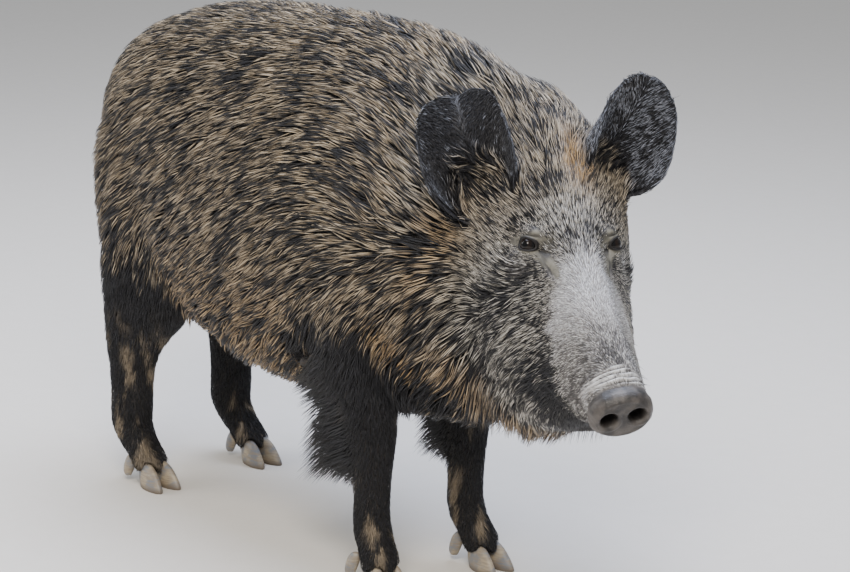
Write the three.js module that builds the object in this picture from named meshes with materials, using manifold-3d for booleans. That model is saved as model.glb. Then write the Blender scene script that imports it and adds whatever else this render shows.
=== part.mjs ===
// A wild boar sow standing on four feet, life size, as a still museum model.
// Millimetres, +Z up, nose towards +X, the animal's left side towards +Y, soles on Z = 0.
// The outer surface is the coat: it runs out to the tips of the hair.
import * as THREE from "three";
import { mergeVertices } from "three/addons/utils/BufferGeometryUtils.js";
import Module from "manifold-3d";

const wasm = await Module();
wasm.setup();

// ---- driving dimensions ----------------------------------------------------------------------
const GAP = 0.6; // thin cut between two neighbouring pieces
const MOUTH_GAP = 1.6; // the mouth line between the upper lip and the lower jaw
const HEAD_AT = [441, 22, 690]; // poll
const HEAD_TURN = { yaw: -24.5, pitch: 33, roll: -2 }; // degrees; pitch lowers the nose
// Plan positions [x, y] of each leg: at the hoof, up the shank and at the shoulder or hip.
// fringe scales the long hair behind the forearm.
const FORELEGS = {
  left: { foot: [294, 76], shank: [248, 66], top: [215, 106], fringe: 0.7 },
  right: { foot: [276, -106], shank: [240, -104], top: [215, -108], fringe: 1.15 },
};
const HINDLEGS = {
  left: { foot: [-312, 102], shank: [-392, 98], top: [-322, 104], fringe: 1 },
  right: { foot: [-302, -106], shank: [-376, -108], top: [-322, -104], fringe: 1 },
};
const PASTERN = [10, 94]; // heights between which a leg runs from its hoof to its shank
const UPPER = [215, 480]; // heights between which it runs from its shank to its top
const EYE = { at: [186, 60, -40], radius: 13 }; // in the head's own frame
// The snout's disc; tilt turns its face up and roll lifts its left edge (degrees).
const SNOUT = { x: 458, side: -6, z: -48, halfY: 41, halfZ: 33, thick: 27, tilt: -7, roll: 13 };
const NOSTRIL = { y: 18, z: 0, halfY: 9, halfZ: 7.5, depth: 18 };
const HOOF = { length: 67, half: 14, spread: 15, splay: 5 };
const DEWCLAW = { lift: 10, back: 50, spread: 20, half: 9 };
const TAIL_LENGTH = 230;

const POINTS = { trunk: 26, head: 26, disc: 18, leg: 13, ear: 7, hoof: 10, tail: 8 };
const STEPS = { trunk: 19, head: 20, leg: 17, ear: 10, tail: 7 };
const FAR = 2000; // larger than the animal, for cutting blocks
const rad = THREE.MathUtils.degToRad;
const vec = (x, y, z) => new THREE.Vector3(x, y, z);

// ---- solids ----------------------------------------------------------------------------------
function solid(geometry) {
  const g = geometry.clone();
  g.deleteAttribute("normal");
  g.deleteAttribute("uv");
  const merged = mergeVertices(g, 1e-3);
  return new wasm.Manifold(
    new wasm.Mesh({
      numProp: 3,
      vertProperties: new Float32Array(merged.attributes.position.array),
      triVerts: new Uint32Array(merged.index.array),
    }),
  );
}

function geometryOf(manifold) {
  const m = manifold.getMesh();
  const g = new THREE.BufferGeometry();
  g.setAttribute("position", new THREE.BufferAttribute(m.vertProperties, 3));
  g.setIndex(new THREE.BufferAttribute(m.triVerts, 1));
  g.computeVertexNormals();
  return g;
}

// A closed skin through rings of equal point counts, with a fan over each end.
function loft(rings) {
  const n = rings[0].length;
  const points = rings.flat();
  const index = [];
  for (let r = 0; r + 1 < rings.length; r++) {
    for (let i = 0; i < n; i++) {
      const a = r * n + i;
      const b = r * n + ((i + 1) % n);
      index.push(a, b, a + n, b, b + n, a + n);
    }
  }
  for (const r of [0, rings.length - 1]) {
    const centre = rings[r].reduce((sum, p) => sum.add(p), vec(0, 0, 0)).divideScalar(n);
    points.push(centre);
    for (let i = 0; i < n; i++) {
      const a = r * n + i;
      const b = r * n + ((i + 1) % n);
      index.push(...(r ? [a, b, points.length - 1] : [b, a, points.length - 1]));
    }
  }
  const g = new THREE.BufferGeometry().setFromPoints(points);
  g.setIndex(index);
  return g;
}

// Catmull-Rom through a list of stations: every number in a station runs smoothly.
function stationAt(stations, t) {
  const s = t * (stations.length - 1);
  const i = Math.min(Math.floor(s), stations.length - 2);
  const u = s - i;
  const at = (k) => stations[THREE.MathUtils.clamp(k, 0, stations.length - 1)];
  const made = {};
  for (const key of Object.keys(stations[0])) {
    const [a, b, c, d] = [at(i - 1)[key], at(i)[key], at(i + 1)[key], at(i + 2)[key]];
    const cubic = 2 * a - 5 * b + 4 * c - d + u * (3 * (b - c) + d - a);
    made[key] = b + 0.5 * u * (c - a + u * cubic);
  }
  return made;
}

// One ring across X: an egg with its widest level at `wide`, rounder or squarer by the powers.
function eggRing(s, count, grow) {
  const ring = [];
  for (let i = 0; i < count; i++) {
    const a = (2 * Math.PI * i) / count;
    const upper = Math.sin(a) > 0;
    const power = upper ? s.topPower : s.bottomPower;
    const reach = (upper ? s.top - s.wide : s.wide - s.bottom) + grow;
    const round = (v) => Math.sign(v) * Math.abs(v) ** (2 / power);
    const y = s.side + round(Math.cos(a)) * (s.half + grow);
    ring.push(vec(s.x, y, s.wide + round(Math.sin(a)) * reach));
  }
  return ring;
}

function eggLoft(stations, steps, count, grow = 0) {
  const rings = [];
  for (let k = 0; k <= steps; k++) rings.push(eggRing(stationAt(stations, k / steps), count, grow));
  return loft(rings);
}

// Everything on the side of a plane that its normal points to.
function beyond(point, normal, gap = 0) {
  const g = new THREE.BoxGeometry(FAR, FAR, FAR).translate(0, 0, FAR / 2 + gap / 2);
  const n = vec(...normal).normalize();
  g.applyQuaternion(new THREE.Quaternion().setFromUnitVectors(vec(0, 0, 1), n));
  return solid(g.translate(...point));
}

// ---- trunk and neck --------------------------------------------------------------------------
// Stations from the rump to the throat.
const TRUNK = [
  { x: -466, side: 0, top: 630, wide: 575, bottom: 515, half: 34, topPower: 2, bottomPower: 2 },
  { x: -453, side: 0, top: 676, wide: 570, bottom: 440, half: 94, topPower: 2.2, bottomPower: 2 },
  { x: -415, side: 0, top: 720, wide: 558, bottom: 375, half: 140, topPower: 2.4, bottomPower: 2 },
  { x: -345, side: 0, top: 755, wide: 542, bottom: 312, half: 170, topPower: 2.4, bottomPower: 2 },
  { x: -250, side: 0, top: 781, wide: 522, bottom: 262, half: 184, topPower: 2.2, bottomPower: 2.1 },
  { x: -130, side: 0, top: 796, wide: 506, bottom: 226, half: 191, topPower: 2, bottomPower: 2.2 },
  { x: 0, side: 0, top: 801, wide: 498, bottom: 220, half: 194, topPower: 1.95, bottomPower: 2.2 },
  { x: 120, side: 0, top: 803, wide: 500, bottom: 224, half: 188, topPower: 1.9, bottomPower: 2.2 },
  { x: 220, side: 0, top: 801, wide: 506, bottom: 232, half: 180, topPower: 1.8, bottomPower: 2.1 },
  { x: 300, side: 0, top: 784, wide: 508, bottom: 238, half: 171, topPower: 1.8, bottomPower: 2 },
  { x: 365, side: 4, top: 762, wide: 508, bottom: 246, half: 158, topPower: 1.8, bottomPower: 2 },
  { x: 420, side: 10, top: 732, wide: 506, bottom: 268, half: 136, topPower: 1.8, bottomPower: 2 },
  { x: 458, side: 18, top: 684, wide: 500, bottom: 308, half: 98, topPower: 1.9, bottomPower: 2 },
];
const trunkLoft = (grow) => solid(eggLoft(TRUNK, STEPS.trunk, POINTS.trunk, grow));

// ---- head ------------------------------------------------------------------------------------
// Stations along the line of the forehead and nose, from behind the poll to the snout.
const HEAD = [
  { x: -120, side: 0, top: -14, wide: -140, bottom: -240, half: 92, topPower: 2, bottomPower: 2 },
  { x: -50, side: 0, top: 18, wide: -135, bottom: -290, half: 116, topPower: 2, bottomPower: 2 },
  { x: 15, side: 0, top: 28, wide: -132, bottom: -326, half: 126, topPower: 2, bottomPower: 2 },
  { x: 80, side: 0, top: 22, wide: -132, bottom: -345, half: 127, topPower: 2, bottomPower: 2 },
  { x: 140, side: 0, top: 9, wide: -134, bottom: -352, half: 118, topPower: 1.8, bottomPower: 2.1 },
  { x: 190, side: 0, top: -4, wide: -138, bottom: -353, half: 107, topPower: 1.65, bottomPower: 2.2 },
  { x: 240, side: 0, top: -14, wide: -146, bottom: -346, half: 99, topPower: 1.62, bottomPower: 2.2 },
  { x: 295, side: 0, top: -20, wide: -148, bottom: -302, half: 88, topPower: 1.58, bottomPower: 2.2 },
  { x: 350, side: 0, top: -19, wide: -136, bottom: -234, half: 76, topPower: 1.55, bottomPower: 2.3 },
  { x: 400, side: -1, top: -15, wide: -108, bottom: -170, half: 58, topPower: 1.7, bottomPower: 2.3 },
  { x: 438, side: -4, top: -11, wide: -70, bottom: -114, half: 44, topPower: 1.95, bottomPower: 2.2 },
  { x: 458, side: -6, top: -11, wide: -48, bottom: -84, half: 39, topPower: 2.1, bottomPower: 2.1 },
];
// The mouth line, and the edge of the jaw behind its corner, as a side view of the head.
const JAW = [
  [520, -66],
  [446, -79],
  [396, -97],
  [336, -116],
  [280, -132],
  [190, -400],
  [520, -400],
];

const headFrame = new THREE.Matrix4()
  .makeRotationFromEuler(
    new THREE.Euler(rad(HEAD_TURN.roll), rad(HEAD_TURN.pitch), rad(HEAD_TURN.yaw), "ZYX"),
  )
  .setPosition(...HEAD_AT);
const onHead = (geometry) => solid(geometry.applyMatrix4(headFrame));
const headLoft = (grow) => onHead(eggLoft(HEAD, STEPS.head, POINTS.head, grow));
const headPoint = (x, y, z) => vec(x, y, z).applyMatrix4(headFrame).toArray();
const headAxis = (x, y, z) => vec(x, y, z).transformDirection(headFrame).toArray();

function headBall([x, y, z], [rx, ry, rz], detail = 10) {
  const g = new THREE.SphereGeometry(1, detail, Math.round(detail * 0.7));
  return onHead(g.scale(rx, ry, rz).translate(x, y, z));
}

// The side view of the lower jaw, grown or shrunk by half the mouth gap, as a block.
function jawBlock(grow) {
  const shape = new THREE.Shape(JAW.map(([x, z]) => new THREE.Vector2(x - grow, z + grow)));
  const g = new THREE.ExtrudeGeometry(shape, { depth: 600, bevelEnabled: false });
  return onHead(g.translate(0, 0, -300).rotateX(Math.PI / 2));
}

// A disc of gristle with rounded edges, turned up a little, with two nostrils let into it.
function snoutDisc() {
  const profile = [
    [0, 0.88],
    [0.2, 0.97],
    [0.55, 1.02],
    [0.85, 0.97],
    [1, 0.84],
  ];
  const rings = profile.map(([along, size]) => {
    const s = {
      x: along * SNOUT.thick,
      side: 0,
      top: SNOUT.halfZ * size,
      wide: 0,
      bottom: -SNOUT.halfZ * size,
      half: SNOUT.halfY * size,
      topPower: 2.3,
      bottomPower: 2.1,
    };
    return eggRing(s, POINTS.disc, 0);
  });
  const turned = (g) => g.rotateX(rad(SNOUT.roll)).rotateY(rad(SNOUT.tilt));
  const place = (g) => onHead(turned(g).translate(SNOUT.x, SNOUT.side, SNOUT.z));
  let disc = place(loft(rings));
  for (const side of [1, -1]) {
    const hole = new THREE.SphereGeometry(1, 8, 7);
    hole.scale(NOSTRIL.depth, NOSTRIL.halfY, NOSTRIL.halfZ).rotateZ(rad(12 * side));
    disc = disc.subtract(place(hole.translate(SNOUT.thick, side * NOSTRIL.y, NOSTRIL.z)));
  }
  return disc;
}

// ---- ears ------------------------------------------------------------------------------------
// A scoop: along runs from the root to the tip, across is the half width of the opening, and cup
// is half the angle that the scoop wraps round (degrees).
const EAR = [
  { along: -32, across: 26, cup: 116, thick: 12 },
  { along: 0, across: 42, cup: 116, thick: 12 },
  { along: 30, across: 54, cup: 106, thick: 12 },
  { along: 62, across: 61, cup: 90, thick: 11 },
  { along: 94, across: 61, cup: 64, thick: 10 },
  { along: 122, across: 52, cup: 48, thick: 9 },
  { along: 142, across: 34, cup: 38, thick: 8 },
  { along: 152, across: 12, cup: 30, thick: 6 },
];
// root: in the head's frame. up: where the tip points. open: where the scoop opens.
const EARS = {
  left: { root: [40, 70, -38], up: [-0.14, 0.34, 0.9], open: [0.75, 0.2, 0.55], fold: 16 },
  right: { root: [62, -88, -70], up: [-0.47, -0.36, 0.82], open: [0.75, -0.34, 0.5], fold: 66 },
};
const EAR_FOLD_START = 72; // where the tip begins to tip forward

function earLoft({ root, up, open, fold }) {
  const axis = vec(...up).normalize();
  const across = vec(...open).cross(axis).normalize();
  const front = axis.clone().cross(across).normalize();
  const rings = [];
  const steps = STEPS.ear;
  const tip = EAR[EAR.length - 1].along;
  let last = EAR[0].along; // the root's own end lies inside the head
  let spine = vec(...root).addScaledVector(axis, last);
  for (let k = 0; k <= steps; k++) {
    const s = stationAt(EAR, k / steps);
    const past = Math.max(s.along - EAR_FOLD_START, 0) / (tip - EAR_FOLD_START);
    const bent = past * rad(fold);
    const heading = axis.clone().applyAxisAngle(across, bent);
    const facing = front.clone().applyAxisAngle(across, bent);
    spine = spine.clone().addScaledVector(heading, s.along - last);
    last = s.along;
    const wrap = rad(s.cup);
    const radius = s.across / Math.sin(Math.min(wrap, Math.PI / 2));
    const ring = [];
    for (const [wall, direction] of [[s.thick / 2, 1], [-s.thick / 2, -1]]) {
      for (let i = 0; i < POINTS.ear; i++) {
        const v = direction * ((2 * i) / (POINTS.ear - 1) - 1);
        const taper = 1 - 0.45 * v ** 4; // thinner towards the rim
        const r = radius + wall * taper;
        ring.push(
          spine
            .clone()
            .addScaledVector(across, r * Math.sin(v * wrap))
            .addScaledVector(facing, radius - r * Math.cos(v * wrap)),
        );
      }
    }
    rings.push(ring);
  }
  return onHead(loft(rings));
}

// ---- legs ------------------------------------------------------------------------------------
// Stations from the top of the hoof to inside the trunk. x and out are measured from the line
// between the foot and the shoulder or hip; fore, aft and across are the ring's half sizes.
const FORELEG = [
  { z: 26, x: -6, out: 0, fore: 27, aft: 25, hair: 0, across: 29 },
  { z: 52, x: 0, out: 0, fore: 29, aft: 26, hair: 0, across: 30 },
  { z: 84, x: 0, out: 0, fore: 28, aft: 27, hair: 0, across: 29 },
  { z: 112, x: 0, out: 0, fore: 27, aft: 27, hair: 0, across: 27 },
  { z: 136, x: 0, out: 0, fore: 27, aft: 27, hair: 2, across: 27 },
  { z: 165, x: 0, out: 0, fore: 28, aft: 29, hair: 50, across: 29 },
  { z: 196, x: 1, out: 0, fore: 30, aft: 34, hair: 98, across: 32 },
  { z: 240, x: 3, out: 0, fore: 32, aft: 46, hair: 92, across: 36 },
  { z: 300, x: 4, out: 0, fore: 40, aft: 72, hair: 62, across: 45 },
  { z: 360, x: 4, out: 4, fore: 56, aft: 96, hair: 30, across: 57 },
  { z: 420, x: 6, out: 6, fore: 78, aft: 104, hair: 8, across: 66 },
  { z: 490, x: 6, out: 6, fore: 98, aft: 106, hair: 0, across: 70 },
  { z: 570, x: 2, out: 2, fore: 100, aft: 98, hair: 0, across: 68 },
  { z: 630, x: -4, out: -14, fore: 70, aft: 70, hair: 0, across: 50 },
  { z: 670, x: -8, out: -40, fore: 30, aft: 30, hair: 0, across: 22 },
];
const HINDLEG = [
  { z: 26, x: -6, out: 0, fore: 27, aft: 25, hair: 0, across: 29 },
  { z: 52, x: 0, out: 0, fore: 32, aft: 28, hair: 0, across: 31 },
  { z: 84, x: 0, out: 0, fore: 36, aft: 30, hair: 0, across: 32 },
  { z: 115, x: 0, out: 0, fore: 40, aft: 30, hair: 0, across: 33 },
  { z: 160, x: 0, out: 0, fore: 42, aft: 30, hair: 0, across: 33 },
  { z: 205, x: 0, out: 0, fore: 54, aft: 36, hair: 0, across: 36 },
  { z: 245, x: 0, out: 0, fore: 92, aft: 47, hair: 0, across: 41 },
  { z: 285, x: 0, out: 0, fore: 136, aft: 52, hair: 0, across: 48 },
  { z: 330, x: 4, out: 2, fore: 146, aft: 62, hair: 0, across: 56 },
  { z: 385, x: 4, out: 6, fore: 136, aft: 84, hair: 0, across: 65 },
  { z: 450, x: 2, out: 10, fore: 126, aft: 102, hair: 0, across: 72 },
  { z: 530, x: 0, out: 8, fore: 118, aft: 112, hair: 0, across: 75 },
  { z: 600, x: -4, out: -2, fore: 92, aft: 96, hair: 0, across: 64 },
  { z: 655, x: -8, out: -26, fore: 46, aft: 46, hair: 0, across: 36 },
];

function legLoft(stations, { foot, shank, top, fringe }, grow) {
  const side = Math.sign(foot[1]);
  const rings = [];
  for (let k = 0; k <= STEPS.leg; k++) {
    const s = stationAt(stations, k / STEPS.leg);
    const lower = THREE.MathUtils.smoothstep(s.z, ...PASTERN);
    const upper = THREE.MathUtils.smoothstep(s.z, ...UPPER);
    const at = (i) => {
      const low = THREE.MathUtils.lerp(foot[i], shank[i], lower);
      return THREE.MathUtils.lerp(low, top[i], upper);
    };
    const ring = [];
    for (let i = 0; i < POINTS.leg; i++) {
      const a = (2 * Math.PI * i) / POINTS.leg;
      const reach = (Math.cos(a) > 0 ? s.fore : s.aft + s.hair * fringe) + grow;
      const x = at(0) + s.x + Math.cos(a) * reach;
      const y = at(1) + side * s.out + Math.sin(a) * (s.across + grow);
      ring.push(vec(x, y, s.z));
    }
    rings.push(ring);
  }
  return solid(loft(rings));
}

// Rings from the sole up: a pointed toe, a sloping wall and a rounded top hidden in the skin.
const HOOF_RINGS = [
  { z: 0, x: 6, size: 0.93 },
  { z: 3, x: 6, size: 1 },
  { z: 22, x: -3, size: 0.87 },
  { z: 40, x: -14, size: 0.6 },
];
const DEWCLAW_RINGS = [
  { z: 0, x: -4, size: 0.5 },
  { z: 5, x: -4, size: 0.8 },
  { z: 20, x: 0, size: 1 },
  { z: 40, x: 8, size: 0.9 },
];

function toe(rings, long, half, turn, [x, y, z], grow) {
  const made = rings.map((r) => {
    const ring = [];
    for (let i = 0; i < POINTS.hoof; i++) {
      const a = (2 * Math.PI * i) / POINTS.hoof;
      const point = 1 - 0.3 * Math.max(Math.cos(a), 0) ** 2; // the toe narrows to the front
      ring.push(
        vec(
          r.x + Math.cos(a) * (long * r.size + grow),
          Math.sin(a) * (half * r.size * point + grow),
          r.z + (r === rings[0] ? -grow : 0),
        ),
      );
    }
    return ring;
  });
  return solid(loft(made).rotateZ(rad(turn)).translate(x, y, z));
}

// ---- tail ------------------------------------------------------------------------------------
const TAIL = [
  { along: 0, radius: 24 },
  { along: 0.2, radius: 19 },
  { along: 0.5, radius: 14 },
  { along: 0.72, radius: 15 },
  { along: 0.88, radius: 13 },
  { along: 1, radius: 3 },
];

function tailLoft() {
  const root = vec(-440, 2, 630);
  const line = new THREE.CubicBezierCurve3(
    root,
    vec(-492, 2, 626),
    vec(-500, 8, 560),
    vec(-492, 14, 630 - TAIL_LENGTH),
  );
  const rings = [];
  for (let k = 0; k <= STEPS.tail; k++) {
    const s = stationAt(TAIL, k / STEPS.tail);
    const tangent = line.getTangent(s.along);
    const side = vec(0, 1, 0);
    const back = side.clone().cross(tangent).normalize();
    const ring = [];
    for (let i = 0; i < POINTS.tail; i++) {
      const a = (2 * Math.PI * i) / POINTS.tail;
      ring.push(
        line
          .getPoint(s.along)
          .addScaledVector(side, Math.sin(a) * s.radius)
          .addScaledVector(back, Math.cos(a) * s.radius),
      );
    }
    rings.push(ring);
  }
  return solid(loft(rings));
}

// ---- assembly --------------------------------------------------------------------------------
const group = new THREE.Group();
const COAT = { color: 0x5b4a36, roughness: 0.9, metalness: 0 };
const DARK_COAT = { color: 0x241f1c, roughness: 0.9, metalness: 0 };
const SNOUT_SKIN = { color: 0x6b5f5b, roughness: 0.6, metalness: 0 };
const HORN = { color: 0xa39a88, roughness: 0.5, metalness: 0 };
const EYEBALL = { color: 0x1c120c, roughness: 0.1, metalness: 0 };

function add(name, manifold, look) {
  const mesh = new THREE.Mesh(geometryOf(manifold), new THREE.MeshStandardMaterial(look));
  mesh.name = name;
  group.add(mesh);
}

// Feet: two toes and two dewclaws each, and the leg cut to fit over them.
const legs = [];
const FEET = [
  ["foreleg", FORELEG, FORELEGS],
  ["hindleg", HINDLEG, HINDLEGS],
];
for (const [leg, stations, places] of FEET) {
  for (const [side, place] of Object.entries(places)) {
    const { foot } = place;
    let skin = legLoft(stations, place, 0);
    const outer = Math.sign(foot[1]);
    for (const [part, out] of [["outer", outer], ["inner", -outer]]) {
      const claws = {
        hoof: (grow) =>
          toe(
            HOOF_RINGS,
            HOOF.length / 2,
            HOOF.half,
            HOOF.splay * out,
            [foot[0], foot[1] + out * HOOF.spread, 0],
            grow,
          ),
        dewclaw: (grow) =>
          toe(
            DEWCLAW_RINGS,
            DEWCLAW.half * 1.3,
            DEWCLAW.half,
            -14 * out,
            [foot[0] - DEWCLAW.back, foot[1] + out * DEWCLAW.spread, DEWCLAW.lift],
            grow,
          ),
      };
      for (const [claw, make] of Object.entries(claws)) {
        add([claw, leg.slice(0, 4), side, part].join("_"), make(0), HORN);
        skin = skin.subtract(make(GAP));
      }
    }
    legs.push({ name: leg + "_" + side, skin, grown: legLoft(stations, place, GAP) });
  }
}

// The whole core, then the planes that part it.
const CUTS = {
  foreleg: [[220, 0, 400], [0.1, 0, 1]],
  hindleg: [[-300, 0, 425], [-0.5, 0, 1]],
  neck: [[345, 0, 600], [1, 0, 0.2]],
  poll: [headPoint(-26, 0, 0), headAxis(1, 0, 0.36)],
};
const headCore = headLoft(0);
let core = trunkLoft(0).add(headCore);
for (const leg of legs) core = core.add(leg.skin);

const above = (cut, gap = GAP) => beyond(cut[0], cut[1], gap);
const biggest = (m) => m.decompose().sort((a, b) => b.volume() - a.volume())[0];
let rest = core;
for (const leg of legs) {
  const cut = CUTS[leg.name.split("_")[0]];
  add(leg.name, biggest(leg.skin.subtract(above(cut, -GAP))), DARK_COAT);
  rest = rest.subtract(leg.grown.subtract(above(cut, GAP)));
}
rest = rest.subtract(headLoft(GAP).intersect(above(CUTS.poll, -GAP)));
add("trunk", biggest(rest.subtract(above(CUTS.neck, -GAP))), COAT);
add("neck", biggest(rest.intersect(above(CUTS.neck))), COAT);

// The head, with sockets for the eyes, the snout's end cut square and the jaw parted off.
let head = headCore.intersect(above(CUTS.poll));
const discTilt = rad(SNOUT.tilt);
const discFacing = headAxis(Math.cos(discTilt), 0, -Math.sin(discTilt));
head = head.subtract(beyond(headPoint(SNOUT.x, SNOUT.side, SNOUT.z), discFacing, -2 * GAP));
for (const side of [1, -1]) {
  const [x, y, z] = EYE.at;
  const ball = (grow) => headBall([x, y * side, z], Array(3).fill(EYE.radius + grow));
  add(side > 0 ? "eye_left" : "eye_right", ball(0), EYEBALL);
  head = head.subtract(ball(GAP));
}
add("lower_jaw", biggest(head.intersect(jawBlock(-MOUTH_GAP / 2))), DARK_COAT);
add("head", biggest(head.subtract(jawBlock(MOUTH_GAP / 2))), COAT);
add("snout_disc", snoutDisc(), SNOUT_SKIN);
for (const [name, ear] of Object.entries(EARS)) {
  const scoop = earLoft(ear).subtract(headLoft(GAP)).subtract(trunkLoft(GAP));
  add("ear_" + name, biggest(scoop), DARK_COAT);
}
add("tail", biggest(tailLoft().subtract(trunkLoft(GAP))), DARK_COAT);

// Stand the whole on the middle of its own bounding box.
const box = new THREE.Box3().setFromObject(group);
const middle = box.getCenter(vec(0, 0, 0));
for (const mesh of group.children) mesh.geometry.translate(-middle.x, -middle.y, -box.min.z);

export default group;
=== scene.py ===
import bpy
import math
import numpy as np
from mathutils import Matrix, Vector
from mathutils.bvhtree import BVHTree
from mathutils.kdtree import KDTree


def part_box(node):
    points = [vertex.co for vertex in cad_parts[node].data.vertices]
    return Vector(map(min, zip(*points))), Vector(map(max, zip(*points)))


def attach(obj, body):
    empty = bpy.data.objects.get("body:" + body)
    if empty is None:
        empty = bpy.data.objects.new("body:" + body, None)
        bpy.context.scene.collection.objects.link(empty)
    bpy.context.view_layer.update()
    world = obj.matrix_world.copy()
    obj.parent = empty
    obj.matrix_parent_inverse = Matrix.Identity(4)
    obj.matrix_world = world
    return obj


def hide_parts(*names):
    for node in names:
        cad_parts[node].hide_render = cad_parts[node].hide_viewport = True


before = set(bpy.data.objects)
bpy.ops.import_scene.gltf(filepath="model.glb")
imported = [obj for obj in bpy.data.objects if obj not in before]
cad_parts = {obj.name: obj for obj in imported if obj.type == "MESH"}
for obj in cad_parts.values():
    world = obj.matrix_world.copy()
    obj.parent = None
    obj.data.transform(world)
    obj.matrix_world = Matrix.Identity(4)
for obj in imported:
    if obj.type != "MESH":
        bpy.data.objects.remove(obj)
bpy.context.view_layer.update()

# A wild boar sow, life size. Metres, nose towards +X, her left side towards +Y, soles on Z = 0.
MM = 0.001
random = np.random.default_rng(7)

# ---- driving sizes, in mm unless they say otherwise ----------------------------------------------
CUT_CLOSER = 1.2  # how far the solids are fattened to close the thin cuts between them
SKIN_GRID = 3.2
SKIN_STEPS = 4  # the skin sinks under the coat in this many steps
LOCK_LENGTH = (6.5, 2.35)  # where there is no coat's depth, and more for each mm of depth
LOCK_WIDTH = (0.72, 0.075)
COVER = 4.6  # layers of locks over each point of the skin
LONG_COAT = 7.5  # locks of a deeper coat than this have two rings of points, the others one
CLUMP = 9  # locks that lean together
RING_TRIANGLES = 6  # triangles of a lock for each of its rings
PIECE_TRIANGLES = 190000
BAKE_PATCH = 0.003  # a lock's patch on the UV map, as a share of its side
CORNEA = 0.9  # how far it stands out from the eyeball
CAD_WELD = 1e-5  # metres

FLESH = [
    "trunk", "neck", "head", "lower_jaw", "snout_disc", "ear_left", "ear_right", "tail",
    "foreleg_left", "foreleg_right", "hindleg_left", "hindleg_right",
]
FEET = [f"{pair}_{side}_{claw}" for pair in ("fore", "hind")
        for side in ("left", "right") for claw in ("outer", "inner")]

# ---- the head's own frame: u along the nose, v to her left, w up, from the poll ----------------
yaw, pitch, roll = (math.radians(a) for a in (-24.5, 33, -2))
HEAD_TURN = (Matrix.Rotation(yaw, 3, "Z") @ Matrix.Rotation(pitch, 3, "Y")
             @ Matrix.Rotation(roll, 3, "X"))
EYE_AT = {"left": Vector((186, 60, -40)) * MM, "right": Vector((186, -60, -40)) * MM}
EYE_RADIUS = 12.4 * MM


def middle(node):
    """The middle of a node's box."""
    low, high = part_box(node)
    return (low + high) / 2


POLL = middle("eye_left") - HEAD_TURN @ EYE_AT["left"]
TURN = np.array(HEAD_TURN)


def to_head(points):
    """Places in the head's frame, in metres."""
    return (points - np.array(POLL)) @ TURN


def from_head(points):
    """Places given in the head's frame, in the shared frame, in metres."""
    return points @ TURN.T + np.array(POLL)


# ---- the snout's disc in the head's frame (mm, degrees) ----------------------------------------
SNOUT = {"at": (458, -6, -48), "half": (41, 33), "tilt": math.radians(-7), "roll": math.radians(13)}
NOSTRIL = {"across": 18.5, "half": (12, 12.2), "deep": 15}


def disc_place(hp):
    """How far in front of the disc's back, across it and up it each point lies, in mm."""
    q = hp - np.array(SNOUT["at"])
    c, t = math.cos(SNOUT["tilt"]), math.sin(SNOUT["tilt"])
    front, high = q[:, 0] * c - q[:, 2] * t, q[:, 0] * t + q[:, 2] * c
    c, t = math.cos(SNOUT["roll"]), math.sin(SNOUT["roll"])
    return front, q[:, 1] * c + high * t, high * c - q[:, 1] * t


def nostril_place(across, high):
    """0 at the middle of the nearer nostril, 1 at its rim."""
    half = NOSTRIL["half"]
    return np.hypot((np.abs(across) - NOSTRIL["across"]) / half[0], (high - 1) / half[1])


# ---- small numeric helpers ---------------------------------------------------------------------
def step(low, high, value):
    """0 below low, 1 above high, smooth between. low may be above high."""
    t = np.clip((value - low) / (high - low), 0, 1)
    return t * t * (3 - 2 * t)


def unit(vectors):
    """Each vector at a length of 1."""
    return vectors / np.maximum(np.linalg.norm(vectors, axis=-1, keepdims=True), 1e-9)


def dot(a, b):
    """The dot product of each pair of vectors."""
    return np.sum(a * b, axis=-1)


def blob(points, centre, sizes):
    """A soft spot: 1 at centre (mm), falling to 0.37 at the given half sizes (mm)."""
    away = (points / MM - np.array(centre, float)) / np.array(sizes, float)
    return np.exp(-np.sum(away ** 2, axis=-1))


def wave(points, size, seed):
    """Smooth noise from -1 to 1, about size metres from one swell to the next."""
    pick = np.random.default_rng(seed)
    total = np.zeros(len(points))
    for _ in range(7):
        way = unit(pick.normal(size=3))
        total += np.sin(points @ way * (2 * math.pi / size) * pick.uniform(0.7, 1.5)
                        + pick.uniform(0, 2 * math.pi))
    return total / 3.2


# ---- mesh helpers --------------------------------------------------------------------------------
def select_only(*pieces):
    """Selects the pieces and nothing else, the first one active."""
    bpy.ops.object.select_all(action="DESELECT")
    for piece in pieces:
        piece.select_set(True)
    bpy.context.view_layer.objects.active = pieces[0]


def copy_of(node):
    """A merged copy of a CAD node's mesh, as an object of its own."""
    piece = bpy.data.objects.new(node + "_copy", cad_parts[node].data.copy())
    bpy.context.collection.objects.link(piece)
    select_only(piece)
    bpy.ops.object.mode_set(mode="EDIT")
    bpy.ops.mesh.select_all(action="SELECT")
    bpy.ops.mesh.remove_doubles(threshold=CAD_WELD)
    bpy.ops.object.mode_set(mode="OBJECT")
    piece.data.materials.clear()
    return piece


def apply_modifier(piece, kind, **settings):
    """Adds a modifier with its settings and applies it."""
    select_only(piece)
    modifier = piece.modifiers.new(kind.lower(), kind)
    for key, value in settings.items():
        setattr(modifier, key, value)
    bpy.ops.object.modifier_apply(modifier=modifier.name)


def vertices_of(mesh, what="co"):
    """Places or normals of a mesh's vertices."""
    values = np.empty(len(mesh.vertices) * 3, np.float32)
    if what == "co":
        mesh.vertices.foreach_get("co", values)
    else:
        mesh.vertex_normals.foreach_get("vector", values)
    return values.reshape(-1, 3).astype(float)


def move_to(mesh, points):
    """Puts a mesh's vertices at the points."""
    mesh.vertices.foreach_set("co", points.astype(np.float32).ravel())
    mesh.update()


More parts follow.
